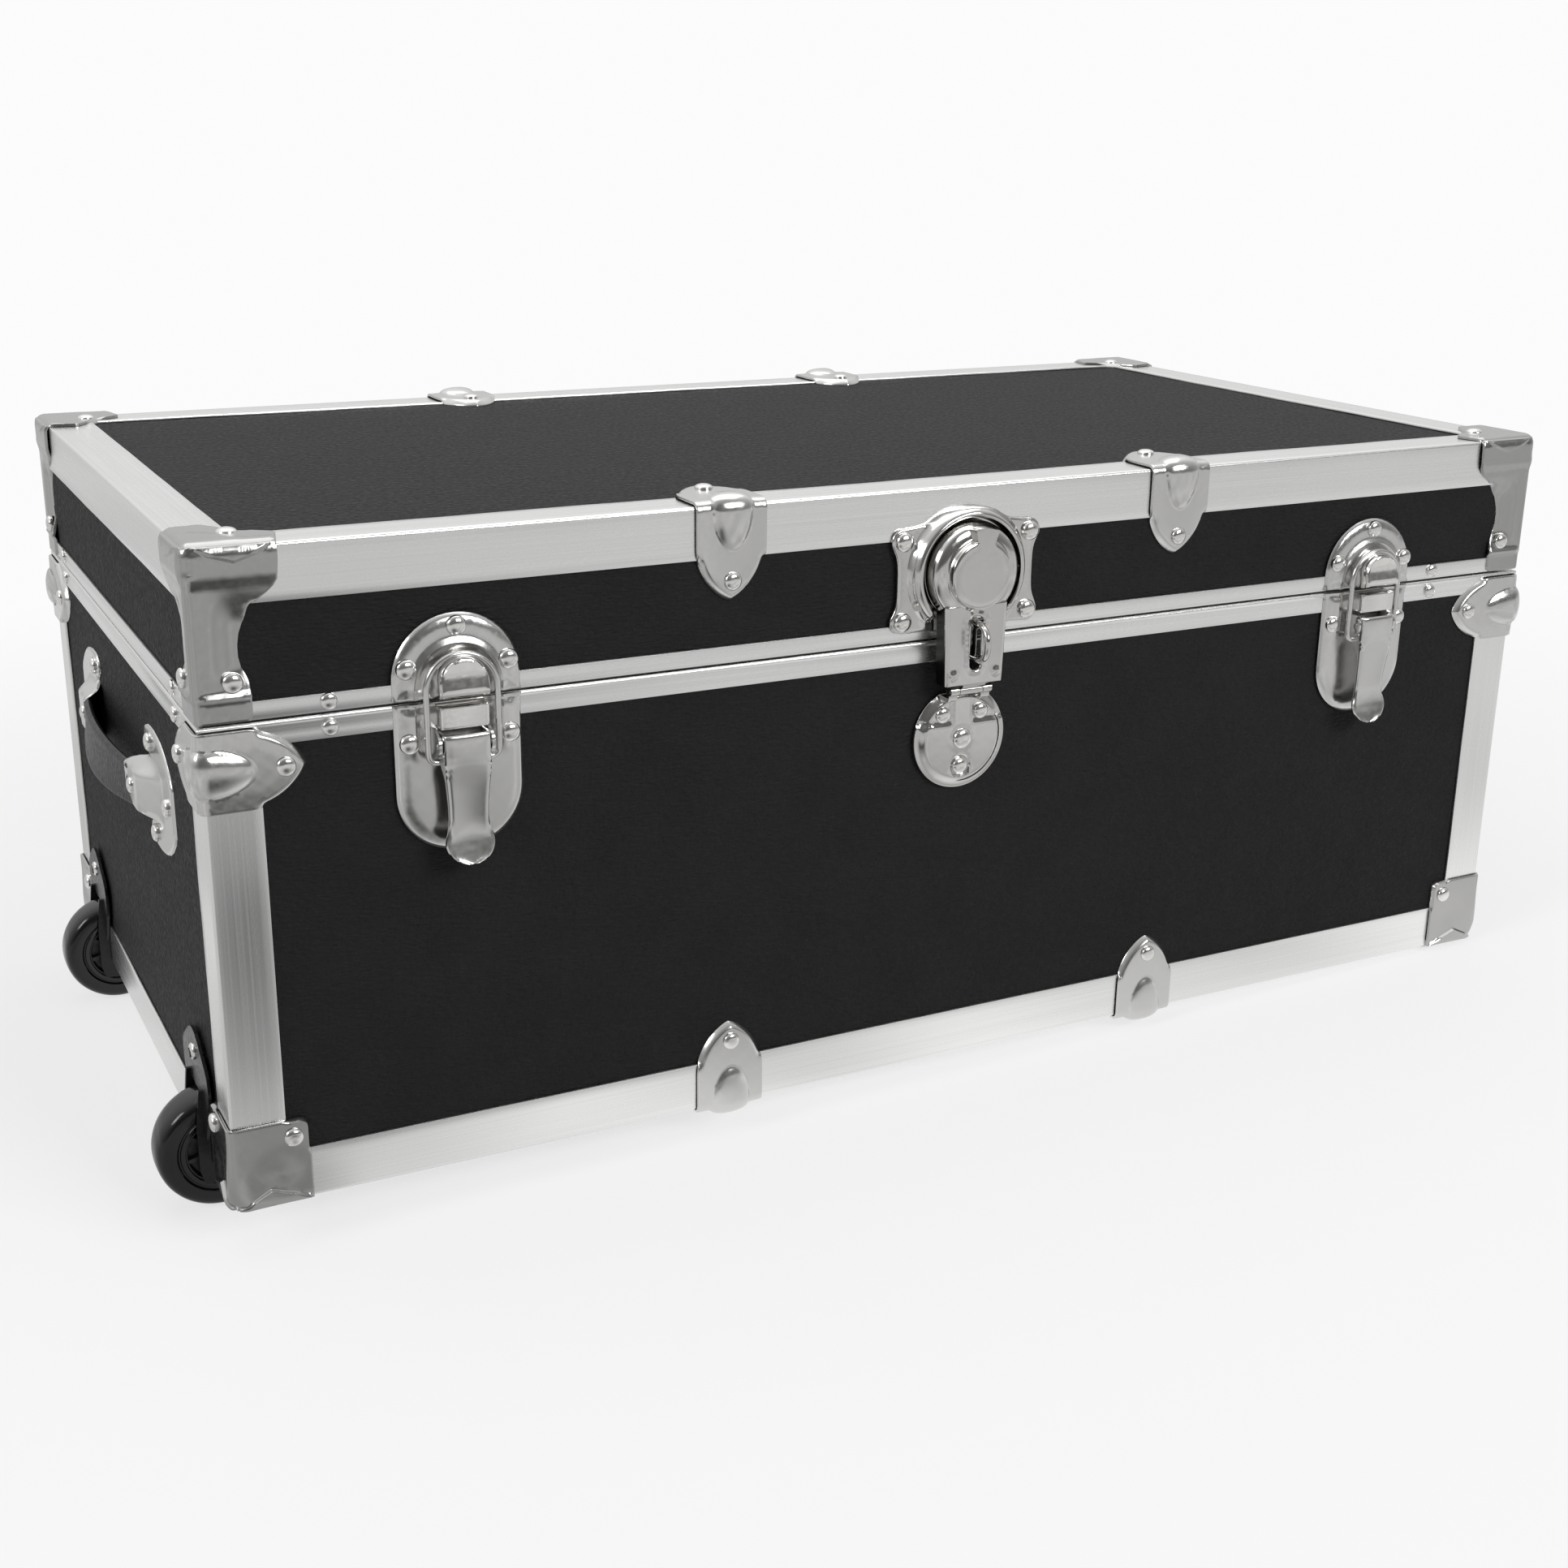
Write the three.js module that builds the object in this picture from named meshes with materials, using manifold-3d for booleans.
// A wheeled footlocker trunk: a black covered plywood box and lid, bound with one-inch aluminium
// edging, pressed-steel corners and clamps, two draw latches, a hinged hasp lock, a strap handle at
// each end and two wheels set into the bottom edge of the left end.
// Millimetres, +Z up. Length runs along X (wheels at -X), the front faces -Y.
// The origin is the centre of the bottom panel's underside. Parts are drawn with z = 0 at the
// underside of the bottom edging, and the whole trunk is lowered at the end.
import * as THREE from "three";
import { mergeVertices } from "three/addons/utils/BufferGeometryUtils.js";
import Module from "manifold-3d";

const wasm = await Module();
wasm.setup();

// ---- driving dimensions ----
const LENGTH = 762; // over the edging, 30 in
const DEPTH = 400; // over the edging, 15.75 in
const HEIGHT = 310; // over the edging, bottom to top
const HX = LENGTH / 2;
const HY = DEPTH / 2;
const EDGE = 25.4; // width of each aluminium edging flange
const AL = 1.2; // edging thickness
const GAP = 0.3; // working gap between neighbouring pieces
const STEEL = 1.2; // clamps, corners, latch and lock plates
const FACE = GAP + STEEL; // outer face of a steel plate, measured off the edging
const PANEL = 6; // plywood with its covering
const INSET = AL + GAP; // covered panels lie this far inside the edging's outer face
const WALL_IN = INSET + PANEL; // inner face of the panels, measured from the outside
const PX = HX - INSET; // outer faces of the panels
const PY = HY - INSET;
const BASE_TOP = 232.7; // top of the base's closing strip
const LID_BOTTOM = 233.5; // bottom of the lid's closing strip
const OVERCUT = 1; // how far a cutter runs past what it cuts

// ---- solids ----
function solid(geometry) {
  const flat = geometry.index ? geometry.toNonIndexed() : geometry;
  const bare = new THREE.BufferGeometry().setAttribute("position", flat.getAttribute("position"));
  const merged = mergeVertices(bare, 1e-3);
  const vertProperties = merged.attributes.position.array;
  const triVerts = new Uint32Array(merged.index.array);
  const build = () => new wasm.Manifold(new wasm.Mesh({ numProp: 3, vertProperties, triVerts }));
  const made = build();
  if (made.volume() > 0) return made;
  // a profile drawn the other way round, or a mirrored copy: turn every face over
  for (let i = 0; i < triVerts.length; i += 3) {
    [triVerts[i + 1], triVerts[i + 2]] = [triVerts[i + 2], triVerts[i + 1]];
  }
  return build();
}

function geometryOf(manifold) {
  const mesh = manifold.getMesh();
  const geometry = new THREE.BufferGeometry()
    .setAttribute("position", new THREE.BufferAttribute(mesh.vertProperties, 3))
    .setIndex(new THREE.BufferAttribute(mesh.triVerts, 1))
    .toNonIndexed();
  geometry.computeVertexNormals();
  return geometry;
}

const union = (...parts) => parts.reduce((a, b) => a.add(b));
const minus = (body, ...cuts) => cuts.reduce((left, cut) => left.subtract(cut), body);

// a box between two corners
function boxGeometry(x0, x1, y0, y1, z0, z1) {
  return new THREE.BoxGeometry(x1 - x0, y1 - y0, z1 - z0)
    .translate((x0 + x1) / 2, (y0 + y1) / 2, (z0 + z1) / 2);
}
const box = (...limits) => solid(boxGeometry(...limits));
// a box over the trunk's whole plan, drawn in by `inset` on all four sides
const planBox = (inset, z0, z1) => box(-HX + inset, HX - inset, -HY + inset, HY - inset, z0, z1);

// An outline is a list of [a, b] points or a ready THREE.Shape.
const shapeOf = (points) => new THREE.Shape(points.map(([a, b]) => new THREE.Vector2(a, b)));
function extrude(outline, depth, curveSegments = 10) {
  const shape = Array.isArray(outline) ? shapeOf(outline) : outline;
  return new THREE.ExtrudeGeometry(shape, { depth, bevelEnabled: false, curveSegments });
}
// outline in (x, z), from y0 towards -Y
function onFront(outline, y0, depth, curveSegments) {
  return solid(extrude(outline, depth, curveSegments).rotateX(Math.PI / 2).translate(0, y0, 0));
}
// outline in (y, z), from x0 towards +X
function onSide(outline, x0, depth) {
  const toSide = new THREE.Matrix4().set(0, 0, 1, x0, 1, 0, 0, 0, 0, 1, 0, 0, 0, 0, 0, 1);
  return solid(extrude(outline, depth).applyMatrix4(toSide));
}
// outline in (x, y), from z0 upwards
const onTop = (outline, z0, depth) => solid(extrude(outline, depth).translate(0, 0, z0));
// the points in reverse order with the first coordinate negated
const mirrored = (points) => [...points].reverse().map(([a, b]) => [-a, b]);

// a flat-footed slot or plate outline with a half-round top
function tombstone(half, bottom, arcZ) {
  const shape = new THREE.Shape();
  shape.moveTo(-half, bottom);
  shape.lineTo(half, bottom);
  shape.lineTo(half, arcZ);
  shape.absarc(0, arcZ, half, 0, Math.PI, false);
  shape.closePath();
  return shape;
}

// round bars
function barX(x0, x1, y, z, radius, segments) {
  return solid(
    new THREE.CylinderGeometry(radius, radius, x1 - x0, segments)
      .rotateZ(Math.PI / 2)
      .translate((x0 + x1) / 2, y, z),
  );
}
function barY(y0, y1, x, z, radius, segments) {
  return solid(
    new THREE.CylinderGeometry(radius, radius, y1 - y0, segments).translate(x, (y0 + y1) / 2, z),
  );
}

// profile of [radius, height] points turned about Y
function lathe(profile, segments) {
  return new THREE.LatheGeometry(profile.map(([r, h]) => new THREE.Vector2(r, h)), segments);
}

// a round wire along a smooth curve through the points
function wire(points, radius, steps) {
  const section = new THREE.Shape();
  section.absarc(0, 0, radius, 0, 2 * Math.PI, false);
  const extrudePath = new THREE.CatmullRomCurve3(points, false, "centripetal");
  const options = { steps, bevelEnabled: false, extrudePath, curveSegments: 3 };
  return solid(new THREE.ExtrudeGeometry(section, options));
}

// a tapered rivet head standing on the surface at (x, y, z), its root sunk into the plate
const RIVET = { radius: 4.2, height: 2.4, sunk: 0.4, crown: 0.6 }; // crown: share of the radius
const RIVET_TURN = {
  front: (head) => head.rotateX(Math.PI),
  back: (head) => head,
  top: (head) => head.rotateX(Math.PI / 2),
  left: (head) => head.rotateZ(Math.PI / 2),
};
function rivet(facing, x, y, z, radius = RIVET.radius, height = RIVET.height) {
  const profile = [
    [0, -RIVET.sunk], [radius, -RIVET.sunk], [radius * RIVET.crown, height], [0, height],
  ];
  return solid(RIVET_TURN[facing](lathe(profile, 6)).translate(x, y, z));
}

// ---- materials: one made for every mesh ----
const FINISH = {
  covering: { color: 0x17181a, roughness: 0.62, metalness: 0.0 },
  aluminium: { color: 0xd2d4d6, roughness: 0.34, metalness: 1.0 },
  steel: { color: 0xc6c7c8, roughness: 0.22, metalness: 1.0 },
  strap: { color: 0x1d1d1e, roughness: 0.55, metalness: 0.0 },
  paint: { color: 0x151516, roughness: 0.4, metalness: 0.2 },
  tyre: { color: 0x101011, roughness: 0.18, metalness: 0.0 },
};

// ---- assembly ----
const trunk = new THREE.Group();
const base = new THREE.Group();
const lid = new THREE.Group();
trunk.add(base, lid);
trunk.position.z = -INSET; // the bottom panel's underside is z = 0

// adds a named mesh at a place; `flip` holds the scale signs that mirror it
function addPiece(parent, name, made, finish, at = [0, 0, 0], flip = [1, 1, 1]) {
  const mesh = new THREE.Mesh(geometryOf(made), new THREE.MeshStandardMaterial(FINISH[finish]));
  mesh.name = name;
  mesh.position.set(...at);
  mesh.scale.set(...flip);
  parent.add(mesh);
  return mesh;
}
const leftAndRight = (x) => [["left", -x], ["right", x]];
// upright corners: name, then the signs that mirror a front-left part into place
const CORNERS = [
  ["front_left", 1, 1], ["front_right", -1, 1], ["back_left", 1, -1], ["back_right", -1, -1],
];

// ---- wheel wells: what the wheels and their housings need out of the corner ----
const WHEEL_Y = 135.5; // wheel mid-planes from the middle
const WELL = { size: 41.5, halfWidth: 16.3, margin: 10 };
const wellCuts = [-WHEEL_Y, WHEEL_Y].map((y) =>
  box(
    -HX - WELL.margin, -HX + WELL.size,
    y - WELL.halfWidth, y + WELL.halfWidth,
    -WELL.margin, WELL.size,
  ),
);

// ---- covered panels ----
const OPEN_FIELD = { x: 105, y: 140 }; // half size of the middle field of bottom and top panels

// a full-size panel whose broad faces carry a separate middle field
function fieldPanel(z0, z1) {
  const made = new THREE.BoxGeometry(3, 3, z1 - z0, 3, 3, 1);
  const position = made.attributes.position;
  const xStations = [-PX, -OPEN_FIELD.x, OPEN_FIELD.x, PX];
  const yStations = [-PY, -OPEN_FIELD.y, OPEN_FIELD.y, PY];
  for (let i = 0; i < position.count; i++) {
    const x = xStations[Math.round(position.getX(i) + 1.5)];
    const y = yStations[Math.round(position.getY(i) + 1.5)];
    position.setXYZ(i, x, y, position.getZ(i) + (z0 + z1) / 2);
  }
  return solid(made);
}

function addBasePanels() {
  const heights = [WALL_IN + GAP, BASE_TOP - INSET];
  const endDepth = [-PY + PANEL + GAP, PY - PANEL - GAP];
  const leftEnd = box(-PX, -PX + PANEL, ...endDepth, ...heights);
  const add = (name, made) => addPiece(base, name, made, "covering");
  add("base_front_panel", box(-PX, PX, -PY, -PY + PANEL, ...heights));
  add("base_back_panel", box(-PX, PX, PY - PANEL, PY, ...heights));
  add("base_left_end_panel", minus(leftEnd, ...wellCuts));
  add("base_right_end_panel", box(PX - PANEL, PX, ...endDepth, ...heights));
  add("base_bottom_panel", minus(fieldPanel(INSET, WALL_IN), ...wellCuts));
}
addBasePanels();

// the lid's box is glued up as one shell: a top and a rim of four walls
function lidShell() {
  const top = HEIGHT - INSET;
  const bottom = LID_BOTTOM + INSET;
  const walls = minus(
    planBox(INSET, bottom, top - PANEL),
    planBox(WALL_IN, bottom - OVERCUT, HEIGHT),
  );
  return union(fieldPanel(top - PANEL, top), walls);
}
addPiece(lid, "lid_shell", lidShell(), "covering");

// ---- aluminium edging ----
const BASE_STRIP = 11.2; // height of the base's closing strip
const LID_STRIP = 8.5; // height of the lid's closing strip
const TONGUE = 5.4; // how far the base strip's tongue stands up inside the lid

// angle edging round a horizontal rim: flanges EDGE wide, lying on the outer faces
function rimEdging(z0, up) {
  const z1 = z0 + EDGE;
  const hollow = up ? [z0 - OVERCUT, z1 - AL] : [z0 + AL, z1 + OVERCUT];
  return minus(
    planBox(0, z0, z1),
    planBox(AL, ...hollow),
    planBox(EDGE, z0 - OVERCUT, z1 + OVERCUT),
  );
}
// the two wheel wells cut the end's bottom edging off between them, so it is a strip of its own
const betweenWells = box(-HX - 5, -HX + 60, -WHEEL_Y + 10, WHEEL_Y - 10, -5, 60);
const bottomRim = rimEdging(0, false);
const mainRim = minus(bottomRim, ...wellCuts, betweenWells);
const wheelEndRim = minus(bottomRim.intersect(betweenWells), ...wellCuts);
addPiece(base, "base_bottom_edging", mainRim, "aluminium");
addPiece(base, "wheel_end_edging", wheelEndRim, "aluminium");
addPiece(lid, "lid_top_edging", rimEdging(HEIGHT - EDGE, true), "aluminium");

// upright angle between the bottom edging and the closing strip; outer corner at the origin
function uprightEdging() {
  const z0 = EDGE + GAP;
  const z1 = BASE_TOP - BASE_STRIP - GAP;
  const reach = EDGE + OVERCUT;
  return minus(
    box(0, EDGE, 0, EDGE, z0, z1),
    box(AL, reach, AL, reach, z0 - OVERCUT, z1 + OVERCUT),
  );
}
for (const [tag, sx, sy] of CORNERS) {
  const at = [-sx * HX, -sy * HY, 0];
  addPiece(base, "base_corner_edging_" + tag, uprightEdging(), "aluminium", at, [sx, sy, 1]);
}

// an outer flange, a lip over the panels' edge and a tongue standing inside the lid
function baseClosingStrip() {
  const bottom = BASE_TOP - BASE_STRIP;
  const top = BASE_TOP + TONGUE;
  const tongueIn = WALL_IN + GAP;
  return minus(
    union(planBox(0, bottom, BASE_TOP), planBox(tongueIn, BASE_TOP - AL, top)),
    planBox(AL, bottom - OVERCUT, BASE_TOP - AL),
    planBox(tongueIn + AL, bottom - OVERCUT, top + OVERCUT),
  );
}
// an outer flange and a lip under the lid walls' edge
function lidClosingStrip() {
  const above = LID_BOTTOM + LID_STRIP + OVERCUT;
  return minus(
    planBox(0, LID_BOTTOM, LID_BOTTOM + LID_STRIP),
    planBox(AL, LID_BOTTOM + AL, above),
    planBox(WALL_IN, LID_BOTTOM - OVERCUT, above),
  );
}
addPiece(base, "base_closing_strip", baseClosingStrip(), "aluminium");
addPiece(lid, "lid_closing_strip", lidClosingStrip(), "aluminium");

// ---- pressed corners: local corner at the origin, box towards +X +Y -Z ----
// side: outline of both upright faces, (distance from the corner, z)
// top: outline of the horizontal face, (x, y)
const LID_CORNER = {
  side: [
    [-FACE, FACE], [38.5, FACE], [39, -0.5], [37.9, -15.3], [33.6, -20.5], [27.7, -25.6],
    [22.4, -33.5], [19.9, -43], [20.8, -52.5], [23.5, -59.3], [24, -74], [21.5, -76.3],
    [-FACE, -76.3],
  ],
  top: [
    [-FACE, -FACE], [39, -FACE], [42, 13.7], [40.5, 17], [23, 32], [17, 40.5], [13.7, 42],
    [-FACE, 39],
  ],
  sideRivet: [16, -59],
  topRivet: [23, 22],
};
const BASE_CORNER = {
  side: [[-FACE, FACE], [36, FACE], [36, -38], [34.8, -40.8], [32, -42], [-FACE, -42]],
  top: [[-FACE, -FACE], [36, -FACE], [36, 12], [30, 26], [26, 30], [12, 36], [-FACE, 36]],
  sideRivet: [28, -33.5],
};
function cornerCap({ side, top, sideRivet: [along, z], topRivet }) {
  const cap = union(
    onFront(side, -GAP, STEEL),
    onSide(side, -FACE, STEEL),
    onTop(top, GAP, STEEL),
    rivet("front", along, -FACE, z),
    rivet("left", -FACE, along, z),
  );
  return topRivet ? cap.add(rivet("top", ...topRivet, FACE)) : cap;
}
for (const [tag, sx, sy] of CORNERS) {
  const [x, y] = [-sx * HX, -sy * HY];
  addPiece(lid, "lid_corner_" + tag, cornerCap(LID_CORNER), "steel", [x, y, HEIGHT], [sx, sy, 1]);
  addPiece(base, "bottom_corner_" + tag, cornerCap(BASE_CORNER), "steel", [x, y, 0], [sx, sy, -1]);
}

// ---- edge clamps: local edge along X through the origin, front at -Y, top at +Z ----
const CLAMP_X = 130; // edge clamps from the middle
const CLAMP_W = 36.4;
const CLAMP_FACE = 46; // leg on the front or back
const CLAMP_TOP = 42; // leg on the top or bottom
const CORNER_CLAMP_Z = 211.9;

// a leg hanging from the edge, narrowing in a curve to a blunt tip
function clampLeg(length) {
  const half = CLAMP_W / 2;
  const tip = { half: 3, rise: 0.6 };
  const straightZ = -0.45 * length; // where the straight sides end
  const controlZ = -0.8 * length; // control points of the side curves
  const shape = new THREE.Shape();
  shape.moveTo(-half, FACE);
  shape.lineTo(-half, straightZ);
  shape.quadraticCurveTo(-half, controlZ, -tip.half, -length + tip.rise);
  shape.quadraticCurveTo(0, -length - tip.rise, tip.half, -length + tip.rise);
  shape.quadraticCurveTo(half, controlZ, half, straightZ);
  shape.lineTo(half, FACE);
  shape.closePath();
  return onFront(shape, -GAP, STEEL, 3);
}
function clamp(topLength) {
  // turn the second leg over the edge: (x, y, z) to (x, -z, -y)
  const overEdge = new THREE.Matrix4().set(1, 0, 0, 0, 0, 0, -1, 0, 0, -1, 0, 0, 0, 0, 0, 1);
  return union(
    clampLeg(CLAMP_FACE),
    solid(geometryOf(clampLeg(topLength)).applyMatrix4(overEdge)),
    rivet("front", 0, -FACE, -(CLAMP_FACE - 10)),
    rivet("top", 0, topLength - 12, FACE),
  );
}
for (const [side, x] of leftAndRight(CLAMP_X)) {
  for (const [wall, sy] of [["front", 1], ["back", -1]]) {
    const tag = "_clamp_" + wall + "_" + side;
    const y = -sy * HY;
    addPiece(lid, "lid" + tag, clamp(CLAMP_TOP), "steel", [x, y, HEIGHT], [1, sy, 1]);
    addPiece(base, "base" + tag, clamp(CLAMP_TOP), "steel", [x, y, 0], [1, sy, -1]);
  }
}
// a clamp turned on its side at each upright corner, just under the closing strip
for (const [tag, sx, sy] of CORNERS) {
  const corner = new THREE.Group();
  corner.position.set(-sx * HX, -sy * HY, CORNER_CLAMP_Z);
  corner.scale.set(sx, sy, 1);
  const mesh = addPiece(corner, "upper_corner_clamp_" + tag, clamp(CLAMP_FACE), "steel");
  mesh.rotation.y = -Math.PI / 2;
  base.add(corner);
}

// ---- draw latches: drawn about x = 0, at their true y and z ----
const PLATE_Y = -HY - GAP; // back of a plate that lies on the front edging
const ROOT_Y = PLATE_Y - 0.5; // raised parts start here, inside the plate
const plateRivet = (x, z, radius, height) =>
  rivet("front", x, PLATE_Y - STEEL, z, radius, height);

const LATCH_X = 266; // latch centres from the middle of the front
const LATCH_HALF = 30; // half width of both plates
const LEVER_PIVOT = { y: -209.5, z: 214 };
const LEVER_HALF = 11.15; // half width at the flanges
const LEVER_FLANGE = 1.25; // flange thickness
const BAIL_PIVOT = { y: -207.5, z: 206 }; // on the lever
const BAIL = { half: 16.6, radius: 1.3, arcZ: 238.5 };

function latchStrike() {
  const dome = onFront(tombstone(11.2, 234.5, 240.9), ROOT_Y, 10.5, 6);
  // slices the front of the dome to a slope
  const slopeCut = solid(
    boxGeometry(-20, 20, -8, 0, -30, 30).rotateX(-0.42).translate(0, PLATE_Y - 11.2, 252),
  );
  return union(
    onFront(tombstone(LATCH_HALF, 234.1, 242.3), PLATE_Y, STEEL, 8),
    minus(dome, slopeCut),
    plateRivet(0, 266.8),
    plateRivet(-23.8, 249),
    plateRivet(23.8, 249),
  );
}

// ear that carries the lever's pin, (y, z)
const LATCH_EAR = [
  [ROOT_Y, 206.5], [PLATE_Y - 8, 209.5], [PLATE_Y - 12, 211],
  [PLATE_Y - 12, 217.2], [PLATE_Y - 8, 219.5], [ROOT_Y, 221.4],
];
function latchBase() {
  const radius = 28; // lower corners
  const bottom = 161.7;
  const top = 232.4;
  const arcX = LATCH_HALF - radius;
  const arcZ = bottom + radius;
  const plate = new THREE.Shape();
  plate.moveTo(LATCH_HALF, top);
  plate.lineTo(-LATCH_HALF, top);
  plate.lineTo(-LATCH_HALF, arcZ);
  plate.absarc(-arcX, arcZ, radius, Math.PI, 1.5 * Math.PI, false);
  plate.lineTo(arcX, bottom);
  plate.absarc(arcX, arcZ, radius, 1.5 * Math.PI, 2 * Math.PI, false);
  plate.closePath();
  const earThickness = 1.4;
  return union(
    onFront(plate, PLATE_Y, STEEL, 8),
    box(-11, 11, PLATE_Y - 11, ROOT_Y, 221.6, 231.9),
    onSide(LATCH_EAR, -13, earThickness),
    onSide(LATCH_EAR, 11.6, earThickness),
    barX(-13.3, 13.3, LEVER_PIVOT.y, LEVER_PIVOT.z, 1.6, 8),
    plateRivet(-23.7, 214.6),
    plateRivet(23.7, 214.6),
  );
}

// side profile of the pressed lever, (y, z): cap over the pivot, waist close to the plate,
// flared tip; down the outer face, then back up the inner face
const LEVER_PROFILE = [
  [-214, 219.2], [-214.3, 212], [-214, 200], [-212.4, 188],
  [-211.4, 178], [-212.4, 169], [-215.6, 160.4], [-216.4, 158.8],
  [-215.3, 158.4], [-214.4, 160.2], [-211.2, 168.6], [-210.2, 178],
  [-211.2, 188.2], [-212.8, 200.2], [-213.1, 212], [-212.8, 219.2],
];
// flange turned in towards the plate, (y, z)
const LEVER_FLANGE_OUTLINE = [
  [-213.6, 219], [-213.6, 198], [-209, 201], [-204.8, 203.6],
  [-204.4, 208], [-205.6, 214.5], [-208, 218.4],
];
// the lever seen from the front
function leverFront() {
  const tip = { half: 12, z: 169.5 };
  const shape = new THREE.Shape();
  shape.moveTo(-LEVER_HALF, 220);
  shape.lineTo(-LEVER_HALF, 203);
  shape.quadraticCurveTo(-10.6, 194, -9.5, 184);
  shape.quadraticCurveTo(-9.4, 178, -tip.half, tip.z);
  shape.absarc(0, tip.z, tip.half, Math.PI, 2 * Math.PI, false);
  shape.quadraticCurveTo(9.4, 178, 9.5, 184);
  shape.quadraticCurveTo(10.6, 194, LEVER_HALF, 203);
  shape.lineTo(LEVER_HALF, 220);
  shape.closePath();
  return shape;
}
function latchLever() {
  const flange = (x) =>
    minus(
      onSide(LEVER_FLANGE_OUTLINE, x, LEVER_FLANGE),
      barX(x - 1, x + 3, LEVER_PIVOT.y, LEVER_PIVOT.z, 2.1, 8),
      barX(x - 1, x + 3, BAIL_PIVOT.y, BAIL_PIVOT.z, 2.0, 8),
    );
  return union(
    onSide(LEVER_PROFILE, -14, 28).intersect(onFront(leverFront(), -205, 16, 4)),
    flange(-LEVER_HALF),
    flange(LEVER_HALF - LEVER_FLANGE),
  );
}

// wire loop from one lever flange, over the strike, to the other flange
function latchBail() {
  // right leg from its end upwards, (x, z above the pivot)
  const leg = [
    [LEVER_HALF - LEVER_FLANGE, 0], [13, 0], [15.4, 0.7], [BAIL.half, 3.2], [BAIL.half, 12],
  ].map(([x, rise]) => [x, BAIL_PIVOT.z + rise]);
  const leftLeg = leg.map(([x, z]) => [-x, z]);
  const arc = [];
  for (let i = 0; i <= 8; i++) {
    const angle = Math.PI - (Math.PI * i) / 8;
    arc.push([BAIL.half * Math.cos(angle), BAIL.arcZ + BAIL.half * Math.sin(angle)]);
  }
  const path = [...leftLeg, ...arc, ...leg.reverse()];
  return wire(path.map(([x, z]) => new THREE.Vector3(x, BAIL_PIVOT.y, z)), BAIL.radius, 28);
}
for (const [tag, x] of leftAndRight(LATCH_X)) {
  addPiece(lid, tag + "_latch_strike", latchStrike(), "steel", [x, 0, 0]);
  addPiece(base, tag + "_latch_base", latchBase(), "steel", [x, 0, 0]);
  addPiece(base, tag + "_latch_lever", latchLever(), "steel", [x, 0, 0]);
  addPiece(base, tag + "_latch_bail", latchBail(), "steel", [x, 0, 0]);
}

// ---- hasp lock ----
const radians = THREE.MathUtils.degToRad;
const HASP_PIVOT = { y: -209, z: 207.5 };
const KNUCKLE_RADIUS = 2.4; // of the hasp's hinge
const LOBE = { x: 36.5, bottomZ: 244.2, topZ: 284.5, radius: 6.6 };
// staple wire, (y, z from the staple's middle)
const STAPLE_Z = 232.2;
const STAPLE = [
  [-201, -8], [-205, -8.2], [-214, -8.6], [-221, -6.6], [-224.6, 0],
  [-221, 6.6], [-214, 8.6], [-205, 8.2], [-201, 8],
];

// four-lobed plate with hollow sides, and a tongue over the parting line that carries the staple
function lockPlate() {
  const lobe = (z, middle) =>
    [middle - 60, middle, middle + 60].map(radians).map((angle) => [
      LOBE.x + LOBE.radius * Math.cos(angle),
      z + LOBE.radius * Math.sin(angle),
    ]);
  const rightSide = [
    ...lobe(LOBE.bottomZ, -38),
    [38.5, 257], [37.6, 264.3], [38.5, 271.6],
    ...lobe(LOBE.topZ, 38),
    [24, 294.5], [13, 298],
  ];
  const outline = [
    ...rightSide, [0, 299.4], ...mirrored(rightSide), [-24, 236.4], [24, 236.4],
  ];
  // raised ring, open at the bottom
  const ring = new THREE.Shape();
  const start = radians(-44);
  const end = radians(224);
  ring.absarc(0, 267, 32, start, end, false);
  ring.absarc(0, 267, 27.6, end, start, true);
  ring.closePath();
  return union(
    onFront(outline, PLATE_Y, STEEL),
    box(-8, 8, PLATE_Y - STEEL, PLATE_Y, 220.6, 246),
    onFront(ring, ROOT_Y, 5.2, 10),
    wire(STAPLE.map(([y, z]) => new THREE.Vector3(0, y, STAPLE_Z + z)), 1.5, 14),
    plateRivet(-LOBE.x, LOBE.bottomZ),
    plateRivet(LOBE.x, LOBE.bottomZ),
    plateRivet(-LOBE.x, LOBE.topZ),
    plateRivet(LOBE.x, LOBE.topZ),
  );
}

// round plate with two lugs that hold the hasp's pin
function haspBase() {
  const lug = { inner: 5.3, outer: 12, front: -209.8 };
  const disc = { z: 180, radius: 27 };
  const plate = new THREE.Shape();
  plate.moveTo(lug.outer, 204);
  plate.lineTo(-lug.outer, 204);
  plate.lineTo(-16.5, 201);
  plate.absarc(0, disc.z, disc.radius, radians(128), radians(412), false);
  plate.lineTo(16.5, 201);
  plate.closePath();
  const lugs = [[-lug.outer, -lug.inner], [lug.inner, lug.outer]].flatMap(([x0, x1]) => [
    box(x0, x1, lug.front, ROOT_Y, 200.5, 204),
    box(x0, x1, lug.front, -208, 202, 206.6),
    barX(x0, x1, HASP_PIVOT.y, HASP_PIVOT.z, KNUCKLE_RADIUS, 10),
  ]);
  return union(
    onFront(plate, PLATE_Y, STEEL, 8),
    ...lugs,
    barX(-lug.outer, lug.outer, HASP_PIVOT.y, HASP_PIVOT.z, 1.2, 8),
    plateRivet(-11.2, 193.4),
    plateRivet(11.2, 193.4),
    plateRivet(0, 165),
    plateRivet(0, disc.z, 5, 3.4),
  );
}

// stepped round head of the hasp, (radius, height off the back)
const HASP_HEAD = [
  [0, 0], [25.8, 0], [25.8, 3.4], [23.8, 8.2], [18, 9.8], [17.2, 13.4], [0, 13.9],
];
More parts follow.
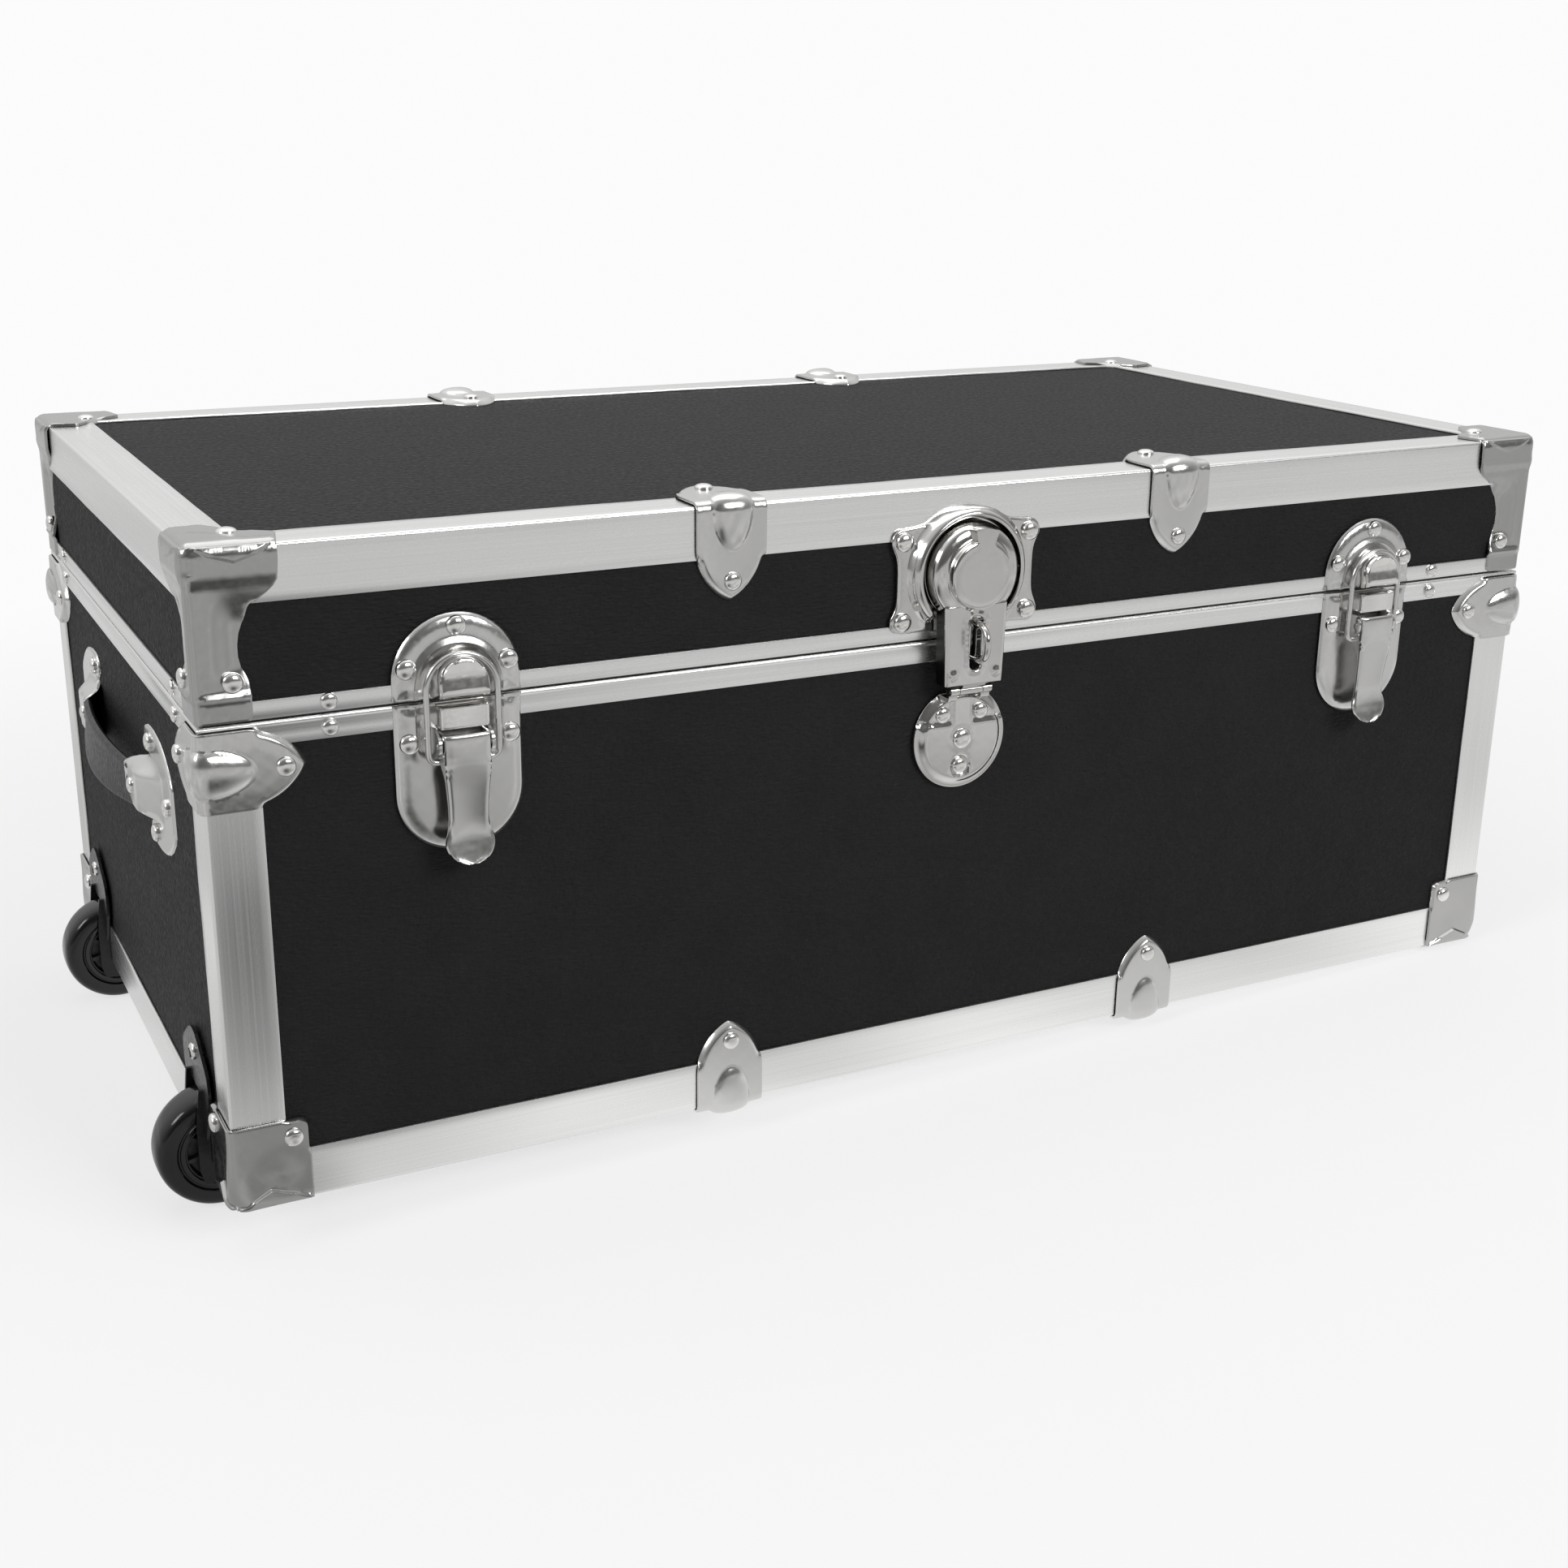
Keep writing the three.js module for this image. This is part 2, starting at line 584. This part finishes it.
// raised channel under the head, with a slot for the staple through both
function hasp() {
  const front = -213.4;
  const back = -203.6;
  const knuckleHalf = 4.9;
  const channel = minus(
    onFront([[-17, 211.2], [17, 211.2], [18.2, 250], [-18.2, 250]], back, back - front),
    box(-15.9, 15.9, front + STEEL, back + OVERCUT, 205, 244.6),
  );
  const head = solid(lathe(HASP_HEAD, 20).rotateX(Math.PI).translate(0, back, 267.6));
  return minus(
    union(
      channel,
      head,
      box(-knuckleHalf, knuckleHalf, front, front + 2.6, 207.2, 212),
      barX(-knuckleHalf, knuckleHalf, HASP_PIVOT.y, HASP_PIVOT.z, KNUCKLE_RADIUS, 10),
      box(-knuckleHalf, knuckleHalf, front, HASP_PIVOT.y, 207.0, 209.8),
    ),
    barX(-6, 6, HASP_PIVOT.y, HASP_PIVOT.z, 1.6, 8),
    onFront(tombstone(3.1, 218.5, 245.6), back + OVERCUT, 20, 5),
  );
}
addPiece(lid, "lock_plate", lockPlate(), "steel");
addPiece(base, "hasp_base", haspBase(), "steel");
addPiece(base, "hasp", hasp(), "steel");

// ---- hinges at the back: leaves outside, knuckles on one line ----
const HINGE_X = 230; // hinge centres from the middle
const HINGE = {
  width: 64, height: 27, y: HY + 3.3, z: 233.1,
  knuckles: 5, knuckleRadius: 3, pinRadius: 1.4,
  rivetXs: [-22, 0, 22], rivetRise: 18,
};
function hingeLeaf(upper) {
  const { width, height, y, z } = HINGE;
  const half = width / 2;
  const pitch = width / HINGE.knuckles;
  const bars = [];
  const reliefs = [];
  for (let i = 0; i < HINGE.knuckles; i++) {
    const x0 = -half + i * pitch;
    const x1 = x0 + pitch;
    const mine = (i % 2 === 1) === upper;
    if (mine) bars.push(barX(x0 + 0.2, x1 - 0.2, y, z, HINGE.knuckleRadius, 12));
    else reliefs.push(barX(x0 - 0.2, x1 + 0.2, y, z, HINGE.knuckleRadius + 0.5, 12));
  }
  const span = upper ? [z, z + height] : [z - height, z];
  const plate = box(-half, half, HY + GAP, HY + FACE, ...span);
  // keeps the two leaves' plates apart on the parting line
  const partingCut = box(-width, width, HY - 1, HY + 1.6, z - 0.6, z + 0.6);
  const body = minus(union(plate, ...bars), ...reliefs, partingCut);
  // the base leaf carries the pin and the lid leaf is bored for it
  const hinged = upper
    ? minus(body, barX(-width, width, y, z, HINGE.pinRadius + GAP, 8))
    : body.add(barX(-half, half, y, z, HINGE.pinRadius, 8));
  const rivetZ = z + (upper ? HINGE.rivetRise : -HINGE.rivetRise);
  return union(hinged, ...HINGE.rivetXs.map((x) => rivet("back", x, HY + FACE, rivetZ)));
}
for (const [tag, x] of leftAndRight(HINGE_X)) {
  addPiece(lid, tag + "_hinge_lid_leaf", hingeLeaf(true), "steel", [x, 0, 0]);
  addPiece(base, tag + "_hinge_base_leaf", hingeLeaf(false), "steel", [x, 0, 0]);
}

// ---- end handles: two riveted pocket brackets and a bowed strap ----
// Local: wall plane x = 0, outwards -X, z about the strap's centre line
const HANDLE_Z = 169.3; // handle centre line
const HANDLE_SPAN = 245; // over the bracket plates
const HANDLE_OUT = 17; // how far the strap's outer face stands off the panel
const POCKET_OUT = 10.6; // and the pockets that hold its ends
const STRAP = { width: 24, halfThickness: 2, endInset: 44 };

// upper half of the bracket plate, (y towards the middle of the handle, z)
const BRACKET_HALF = [
  [0, 0], [0, 12], [7, 19.5], [18, 26.5], [30, 30], [46, 31], [54, 29.5], [58.5, 25],
  [57, 20.5], [50, 17.5], [46, 14],
];
// pocket outside and inside, (x, y)
const POCKET_OUTER = [
  [GAP, 20], [-7.2, 34], [-POCKET_OUT + 1, 50], [-POCKET_OUT, 67], [GAP, 67],
];
const POCKET_INNER = [
  [4, 22], [-5.9, 35], [-POCKET_OUT + 2.2, 50.3], [-POCKET_OUT + 1.2, 70], [4, 70],
];
function handleBracket() {
  const mouthHalf = 12.8;
  const lowerHalf = BRACKET_HALF.slice(1).reverse().map(([y, z]) => [y, -z]);
  const plate = onSide([...BRACKET_HALF, ...lowerHalf], -FACE, STEEL);
  const pocket = minus(
    onTop(POCKET_OUTER, -14, 28),
    onTop(POCKET_INNER, -mouthHalf, 2 * mouthHalf),
    box(-GAP, 5, -10, 70, -40, 40),
  );
  const opening = box(-FACE - OVERCUT, 0.5, 26, 60, -mouthHalf, mouthHalf);
  const rivetRadius = 3.8;
  return union(
    minus(plate, opening),
    pocket,
    rivet("left", -FACE, 45.5, 23.2, rivetRadius),
    rivet("left", -FACE, 45.5, -23.2, rivetRadius),
    rivet("left", -FACE, 11.5, 0, rivetRadius),
  );
}

// a flat strap of even thickness, bowed out between the pockets
function handleStrap() {
  const thick = STRAP.halfThickness;
  const half = HANDLE_SPAN / 2 - STRAP.endInset;
  const middle = -(HANDLE_OUT - thick);
  const mouth = -(POCKET_OUT - 2.4 - thick);
  // centre line, (x, distance in from the strap's end)
  const stations = [
    [mouth + 1.3, 0], [mouth + 0.4, 10], [mouth - 0.4, 22], [mouth - 3.4, 38], [middle + 0.8, 60],
  ];
  const centreLine = [
    ...stations.map(([x, along]) => [x, -half + along]),
    [middle, 0],
    ...[...stations].reverse().map(([x, along]) => [x, half - along]),
  ].map(([x, y]) => new THREE.Vector3(x, y, 0));
  const curve = new THREE.CatmullRomCurve3(centreLine, false, "centripetal");
  const points = curve.getSpacedPoints(22);
  const outer = [];
  const inner = [];
  points.forEach((point, i) => {
    const before = points[Math.max(0, i - 1)];
    const after = points[Math.min(points.length - 1, i + 1)];
    const along = new THREE.Vector2(after.x - before.x, after.y - before.y).normalize();
    outer.push([point.x - along.y * thick, point.y + along.x * thick]);
    inner.push([point.x + along.y * thick, point.y - along.x * thick]);
  });
  return onTop([...outer, ...inner.reverse()], -STRAP.width / 2, STRAP.width);
}
for (const [tag, sx] of [["left", 1], ["right", -1]]) {
  const handle = new THREE.Group();
  const end = HANDLE_SPAN / 2;
  const bracket = tag + "_handle_bracket_";
  handle.position.set(-sx * PX, 0, HANDLE_Z);
  handle.scale.set(sx, 1, 1);
  addPiece(handle, bracket + "front", handleBracket(), "steel", [0, -end, 0]);
  addPiece(handle, bracket + "back", handleBracket(), "steel", [0, end, 0], [1, -1, 1]);
  addPiece(handle, tag + "_handle_strap", handleStrap(), "strap");
  base.add(handle);
}

// ---- wheels: axle along Y, set into the bottom edge of the left end ----
const WHEEL_RADIUS = 30;
const WHEEL_WIDTH = 23;
const WHEEL_AXIS = { x: -HX + 5, z: 4.4 };
const AXLE_RADIUS = 4;

function wheel() {
  const h = WHEEL_WIDTH / 2;
  // one side from the bore out to the tread, (radius, y)
  const side = [[AXLE_RADIUS + 0.4, h - 1], [16, h - 1], [21, h], [26.4, h - 3.6], [29.2, h - 8]];
  // closed section: tread, +Y side to the bore, down the bore, -Y side back to the tread
  const section = [
    [WHEEL_RADIUS, 0],
    ...[...side].reverse(),
    ...side.map(([r, y]) => [r, -y]),
    [WHEEL_RADIUS, 0],
  ];
  return solid(lathe(section, 24));
}

const HOUSING = { size: 39.8, inner: 12.6, outer: 14.8 }; // inner, outer: y faces of the cheeks
// cheek beside the wheel, (x from the left end, z)
const CHEEK = [
  [-4, HOUSING.size], [-6, 20], [-6.2, -2], [-4, -9.5], [14, -9.5], [22, -1.2],
  [HOUSING.size, -1.2], [HOUSING.size, HOUSING.size],
];
// +Y half of the arched plate on the end, outer edge then mouth, (y, z)
const ARCH_SIDE = [
  [14.8, 6], [14.8, 14], [19.4, 22.8], [25.2, 33.3], [27.3, 41], [27.4, 46.5], [26, 51],
  [22.5, 54.5], [16.2, 59], [10.5, 63], [5, 65.8],
];
const ARCH_MOUTH = [[12.8, 36], [12.8, 6]];

// housing round one wheel, drawn about the wheel's mid-plane y = 0 at its true x and z
function wheelBracket() {
  const { x: axisX, z: axisZ } = WHEEL_AXIS;
  const { size, inner, outer } = HOUSING;
  const cheek = (y0) => onFront(CHEEK.map(([x, z]) => [-HX + x, z]), y0, outer - inner);
  const block = minus(
    box(-HX + 1, -HX + size, -outer, outer, 1, size),
    barY(-inner, inner, axisX, axisZ, 33.6, 24),
    box(-HX - 10, axisX, -inner, inner, -5, 36),
    box(axisX, -HX + 38.2, -inner, inner, -5, axisZ),
  );
  const arch = [
    ...ARCH_SIDE, [0, 66.6], ...mirrored(ARCH_SIDE), ...mirrored(ARCH_MOUTH), ...ARCH_MOUTH,
  ];
  const archThickness = 1.6;
  const archX = -HX - GAP - archThickness;
  return union(
    onSide(arch, archX, archThickness),
    cheek(outer),
    cheek(-inner),
    block,
    barY(-inner - 1, inner + 1, axisX, axisZ, AXLE_RADIUS, 12),
    rivet("left", archX, 0, 54),
  );
}
for (const [tag, y] of [["front", -WHEEL_Y], ["back", WHEEL_Y]]) {
  addPiece(base, tag + "_wheel_bracket", wheelBracket(), "paint", [0, y, 0]);
  addPiece(base, tag + "_wheel", wheel(), "tyre", [WHEEL_AXIS.x, y, WHEEL_AXIS.z]);
}

export default trunk;
